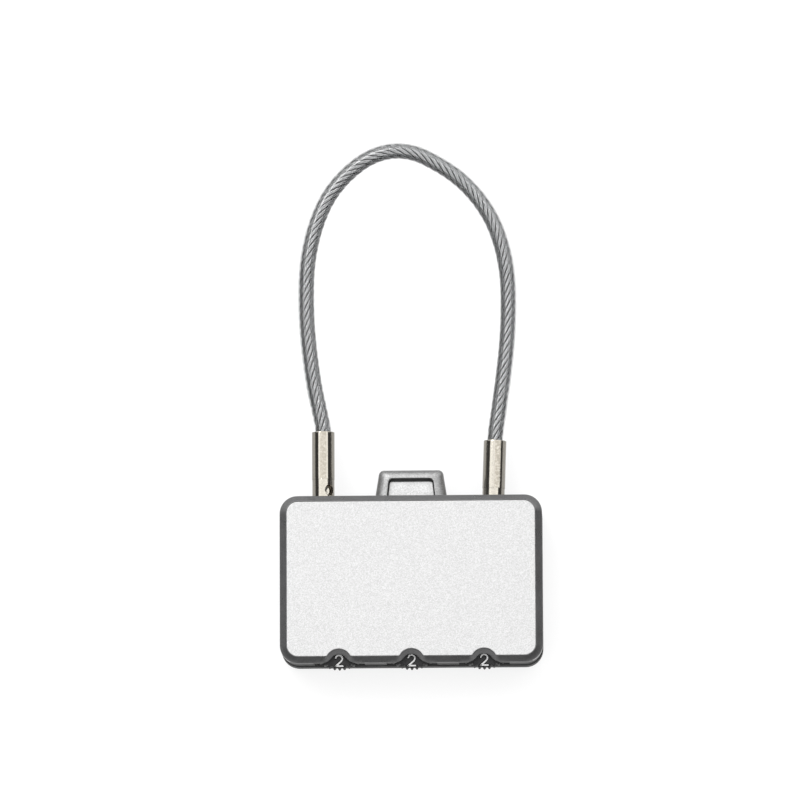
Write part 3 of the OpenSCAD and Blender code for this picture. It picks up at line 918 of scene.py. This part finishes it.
# Strokes of the ten numbers in a box one unit high, around its middle
GLYPHS = {
    0: [ellipse(0, 0, 0.31, 0.5, 90, 452, 33)],
    1: [[(-0.17, 0.34), (-0.05, 0.42), (0.04, 0.5)], [(0.04, 0.5), (0.04, 0.0), (0.04, -0.5)]],
    2: [
        ellipse(0, 0.2, 0.31, 0.3, 168, -25, 16)
        + [(0.2, -0.06), (0.0, -0.24), (-0.2, -0.41), (-0.31, -0.5)],
        [(-0.31, -0.5), (0.0, -0.5), (0.34, -0.5)],
    ],
    3: [ellipse(-0.02, 0.25, 0.29, 0.25, 150, -85, 15), ellipse(-0.02, -0.24, 0.33, 0.26, 85, -155, 17)],
    4: [[(0.12, 0.5), (-0.12, 0.14), (-0.34, -0.2)], [(-0.34, -0.2), (0.0, -0.2), (0.36, -0.2)],
        [(0.14, 0.5), (0.14, 0.0), (0.14, -0.5)]],
    5: [[(0.28, 0.5), (0.0, 0.5), (-0.24, 0.5)], [(-0.24, 0.5), (-0.26, 0.25), (-0.28, 0.03)],
        ellipse(-0.02, -0.17, 0.33, 0.33, 142, -148, 18)],
    6: [ellipse(0.0, -0.2, 0.31, 0.3, 90, 452, 27),
        [(0.2, 0.5), (0.02, 0.38), (-0.13, 0.22), (-0.24, 0.02), (-0.31, -0.2)]],
    7: [[(-0.32, 0.5), (0.0, 0.5), (0.32, 0.5)], [(0.32, 0.5), (0.08, 0.06), (-0.08, -0.5)]],
    8: [ellipse(0, 0.26, 0.26, 0.24, 90, 452, 25), ellipse(0, -0.23, 0.32, 0.27, 90, 452, 27)],
    9: [ellipse(0.0, 0.2, 0.31, 0.3, 90, 452, 27),
        [(-0.2, -0.5), (-0.02, -0.38), (0.13, -0.22), (0.24, -0.02), (0.31, 0.2)]],
}  # fmt: skip


def stroke(points, half, z0, z1):
    """Bar with round ends that follows a flat line, chamfered on top: points and faces."""
    p = np.array(points, float)
    d = np.gradient(p, axis=0)
    d /= np.linalg.norm(d, axis=1)[:, None]
    ends = [(math.sin(a), math.cos(a)) for a in np.radians((82, 60, 35, 15))]
    rows = [(p[0] - d[0] * half * s, d[0], half * c) for s, c in ends]
    rows += [(q, e, half) for q, e in zip(p, d)]
    rows += [(p[-1] + d[-1] * half * s, d[-1], half * c) for s, c in reversed(ends)]
    chamfer = min(0.35 * half, (z1 - z0) * 0.6)
    rings = []
    for q, e, w in rows:
        n = np.array([-e[1], e[0]])
        inner = max(w - chamfer, w * 0.5)
        left = [(w, z0), (w, z1 - chamfer), (inner, z1)]
        section = left + [(-o, z) for o, z in reversed(left)]
        rings.append([(*(q + n * o), z) for o, z in section])
    return loft(rings)


DIGIT_H, DIGIT_R = 2.05, 4.76
DIGIT_STROKE, SHADE_OUTLINE_STROKE = 0.175, 0.34


def digit_parts(x, half, z0, z1):
    """The ten numbers on the dial at x, feet to the rim, the 2 at -Y."""
    parts = []
    for number, strokes in GLYPHS.items():
        a = math.radians(-90 + (number - 2) * 360 / len(GLYPHS))
        outward = np.array([math.cos(a), math.sin(a)])
        right = np.array([-outward[1], outward[0]])
        centre = np.array([x, DIAL_Y]) + outward * DIGIT_R
        for line in strokes:
            points = [centre + (right * u - outward * v) * DIGIT_H for u, v in line]
            parts.append(stroke(points, half, z0, z1))
    return parts


for i, x in enumerate(DIAL_XS, 1):
    body = dial_body(f"dial_wheel_{i}_body", x)
    sharpen(body, 50)
    place(weighted(body), f"dial_wheel_{i}", DIAL_PLASTIC, [f"dial_{i}"])
    # Under each number lies a wider near-black band, which is painted shade of an engraved groove. The
    # numbers' own light ink lies on top of it.
    for part, half_width, above, stroke_material in (
        ("number_shade_edges", SHADE_OUTLINE_STROKE, 0.012, GROOVE_SHADE),
        ("numbers", DIGIT_STROKE, 0.05, NUMBER_INK),
    ):
        digits = join(digit_parts(x, half_width, DIAL_TOP - 0.1, DIAL_TOP + above))
        place(make_object(f"dial_{i}_{part}", *digits), f"dial_wheel_{i}", stroke_material)

# ---- CAD nodes that stay as they are ----

for name, obj in NODES.items():
    if obj.hide_render:
        continue
    if name.startswith(("dial_post", "cam")):
        material = BRASS
    elif "spring" in name or name == "retaining_clip":
        material = SPRING_STEEL
    else:
        material = STEEL
    obj.data.materials.clear()
    obj.data.materials.append(material)

# ---- floor, light and world ----


def floor_material():
    """White ground that gives off part of its own light, so that shadows on it stay pale."""
    material, tree, shader = new_material("floor_white")
    shader.inputs["Specular IOR Level"].default_value = 0.2
    tree.links.new(
        tint(tree, noise(tree, 40, 3), (0.125, 0.125, 0.125), (0.13, 0.13, 0.13)),
        shader.inputs["Base Color"],
    )
    shader.inputs["Emission Color"].default_value = (1, 1, 1, 1)
    shader.inputs["Emission Strength"].default_value = 0.77
    shader.inputs["Roughness"].default_value = 0.7
    return material


FLOOR_HALF, FLOOR_Z = 3000, -0.02
corners = [(x * FLOOR_HALF, y * FLOOR_HALF, FLOOR_Z) for x, y in ((-1, -1), (1, -1), (1, 1), (-1, 1))]
floor = make_object("floor", corners, [(0, 1, 2, 3)])
floor.data.materials.append(floor_material())


def softbox(name, place_mm, aim_mm, size, power):
    """Rectangular light at one point in millimetres, aimed at another; its size is in metres."""
    data = bpy.data.lights.new(name, "AREA")
    data.shape = "RECTANGLE"
    data.size, data.size_y = size
    data.energy = power
    light = link(name, data)
    start, aim = Vector(place_mm) * MM, Vector(aim_mm) * MM
    light.location = start
    light.rotation_euler = (aim - start).to_track_quat("-Z", "Y").to_euler()


softbox("key", (-330, 480, 800), (0, 30, 0), (0.5, 0.4), 4.5)


def ramp(tree, value, stops, low=0.0, high=1.0):
    """A grey level that goes through the stops as the value goes from low to high."""
    node = tree.nodes.new("ShaderNodeValToRGB")
    while len(node.color_ramp.elements) < len(stops):
        node.color_ramp.elements.new(0.5)
    for element, (position, level) in zip(node.color_ramp.elements, stops):
        element.position = position
        element.color = (level, level, level, 1)
    tree.links.new(spread(tree, value, 0, 1, low, high), node.inputs["Fac"])
    return node.outputs["Color"]


def combine(tree, operation, a, b):
    node = tree.nodes.new("ShaderNodeVectorMath")
    node.operation = operation
    tree.links.new(a, node.inputs[0])
    tree.links.new(b, node.inputs[1])
    return node.outputs["Vector"]


def build_world():
    """A bright ceiling over dark walls, with a bright wall at +Y and a little light from below."""
    world = bpy.data.worlds.new("studio")
    bpy.context.scene.world = world
    world.use_nodes = True
    tree = world.node_tree
    coordinates = tree.nodes.new("ShaderNodeTexCoord")
    split = tree.nodes.new("ShaderNodeSeparateXYZ")
    tree.links.new(coordinates.outputs["Generated"], split.inputs["Vector"])
    overhead = ramp(
        tree, split.outputs["Z"],
        ((0.0, 0.30), (0.10, 0.24), (0.20, 0.08), (0.66, 0.09),
         (0.70, 3.5), (0.85, 3.25), (0.95, 3.0), (1.0, 3.0)),
    )  # fmt: skip
    walls = ramp(
        tree, split.outputs["Y"],
        ((0.0, 0.0), (0.3, 0.0), (0.40, 0.02), (0.60, 0.02), (0.72, 3.0), (1.0, 3.4)), -1, 1,
    )  # fmt: skip
    height = ramp(
        tree, split.outputs["Z"], ((0.0, 0.0), (0.08, 0.0), (0.18, 1.0), (0.62, 1.0), (0.70, 0.0))
    )
    light = combine(tree, "ADD", overhead, combine(tree, "MULTIPLY", walls, height))
    tree.links.new(light, tree.nodes["Background"].inputs["Color"])


build_world()
bpy.context.scene.view_settings.view_transform = "Standard"

bpy.context.view_layer.update()
